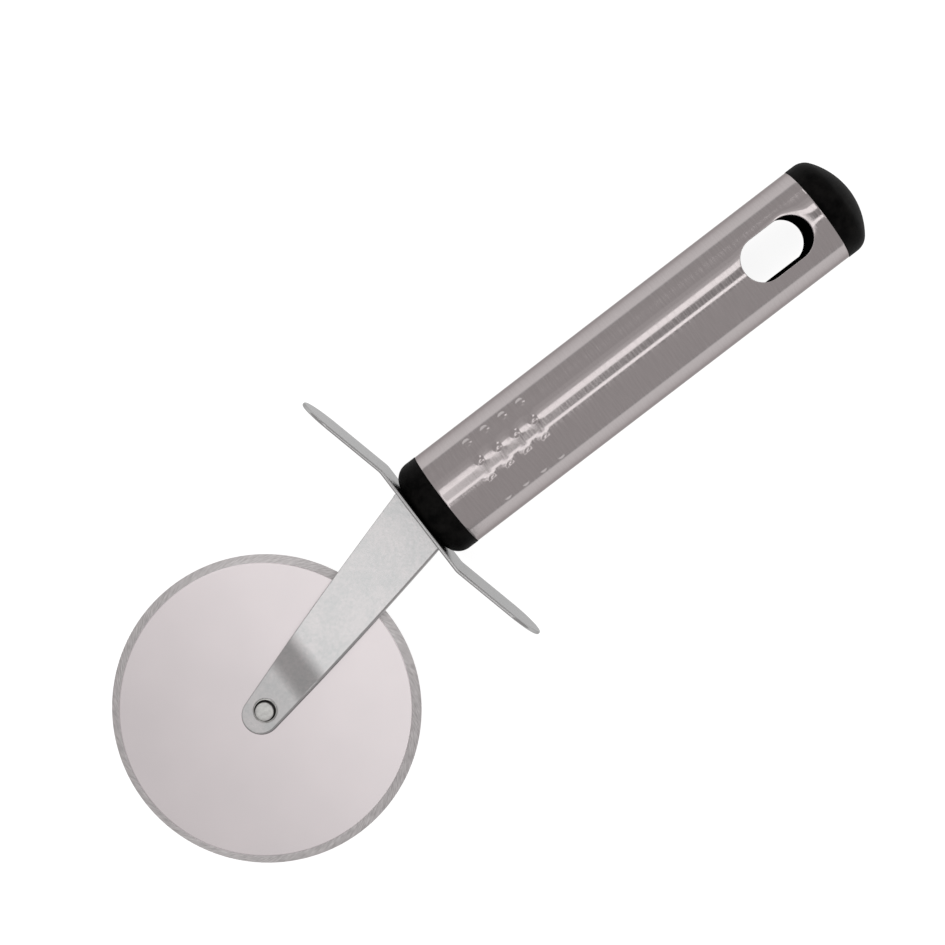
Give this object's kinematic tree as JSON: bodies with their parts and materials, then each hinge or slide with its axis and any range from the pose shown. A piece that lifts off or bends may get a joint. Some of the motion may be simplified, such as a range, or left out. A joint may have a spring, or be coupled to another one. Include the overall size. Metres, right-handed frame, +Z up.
{
  "type": "pizza cutter",
  "caption": "Pizza cutter: a ground steel wheel turns in a canted, joggled fork before an S-bent finger guard and a brushed steel tube handle with black ends and a hanging slot.",
  "frame": {"origin": "on the table under the middle of the whole tool, which lies flat with the wheel's axle upright", "axes": "+X along the handle towards the end cap, +Z up and along the wheel's axle, +Y towards the guard wing that bends to the wheel"},
  "size_m": [0.196, 0.0792, 0.0222],
  "materials": {
    "wheel_steel": "satin, fine polish, ground edge",
    "yoke_steel": "satin, tumbled",
    "guard_steel": "polished",
    "tube_steel": "brushed round the tube",
    "rivet_steel": "bright, peened",
    "fastener_steel": "zinc plated",
    "black_plastic": "moulded, fine matt grain",
    "nylon": "natural nylon"
  },
  "bodies": {
    "handle": {"axle_bush": "fastener_steel", "front_washer": "nylon", "rear_washer": "nylon", "axle_rivet": "rivet_steel", "yoke": "yoke_steel", "guard": "guard_steel", "yoke_screw": "fastener_steel", "screw_washer": "fastener_steel", "screw_nut": "fastener_steel", "collar": "black_plastic", "handle_tube": "tube_steel", "end_cap": "black_plastic"},
    "wheel": {"cutting_wheel": "wheel_steel"}
  },
  "joints": [
    {"name": "wheel_spin", "type": "hinge", "parent": "handle", "child": "wheel", "pos_m": [-0.06511, -0.0068, 0.01105], "axis": [0, 0, 1], "continuous": true}
  ]
}
